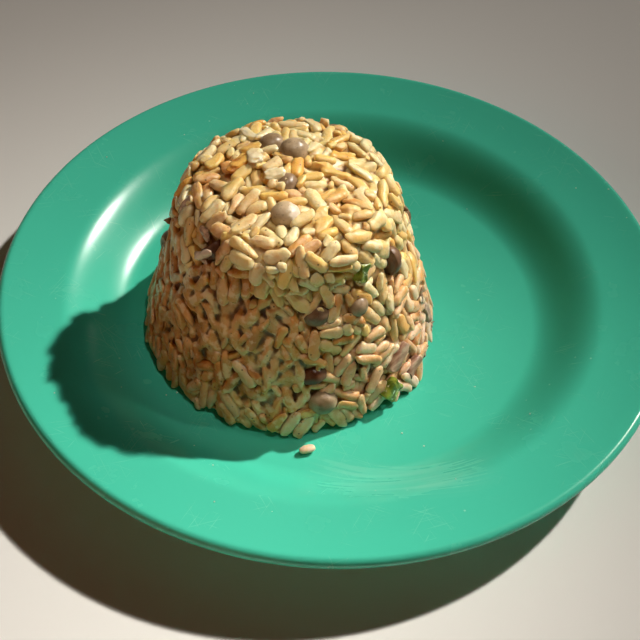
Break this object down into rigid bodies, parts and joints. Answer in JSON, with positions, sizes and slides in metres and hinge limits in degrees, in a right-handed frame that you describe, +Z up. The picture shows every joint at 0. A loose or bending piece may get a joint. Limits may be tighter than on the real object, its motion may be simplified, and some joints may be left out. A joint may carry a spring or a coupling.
{
  "type": "plate of rice with pigeon peas",
  "caption": "Cup-moulded mound of yellow rice mixed with pigeon peas, diced green pepper and ham, served on a round green side plate.",
  "frame": {"origin": "centre of the plate's foot ring, on the surface the plate stands on", "axes": "+Z up, -Y towards the eater (the picture's near side), +X to the eater's right"},
  "size_m": [0.184, 0.184, 0.063],
  "materials": {
    "melamine": "satin green melamine",
    "rice": "moist cooked rice, golden yellow to cream",
    "pea": "smooth grey-brown skin",
    "pepper": "wet cooked green pepper",
    "ham": "cooked reddish-brown ham"
  },
  "bodies": {
    "root": {"plate": "melamine", "rice_mound": "rice", "loose_bit": "rice", "pea_top_back": "pea", "pea_top_middle": "pea", "pea_top_front": "pea", "pea_top_sunk": "pea", "pea_right_shoulder": "pea", "pea_front_upper": "pea", "pea_front_small": "pea", "pea_front_lower": "pea", "pea_front_base": "pea", "pea_left_hollow": "pea", "pea_back_low": "pea", "pea_back_high": "pea", "pea_back_side": "pea", "pea_left_low": "pea", "pea_back_shoulder": "pea", "pepper_shoulder": "pepper", "pepper_base": "pepper", "pepper_back": "pepper", "ham_right_upper": "ham", "ham_right_lower": "ham", "ham_right_side": "ham", "ham_back": "ham"}
  },
  "joints": []
}
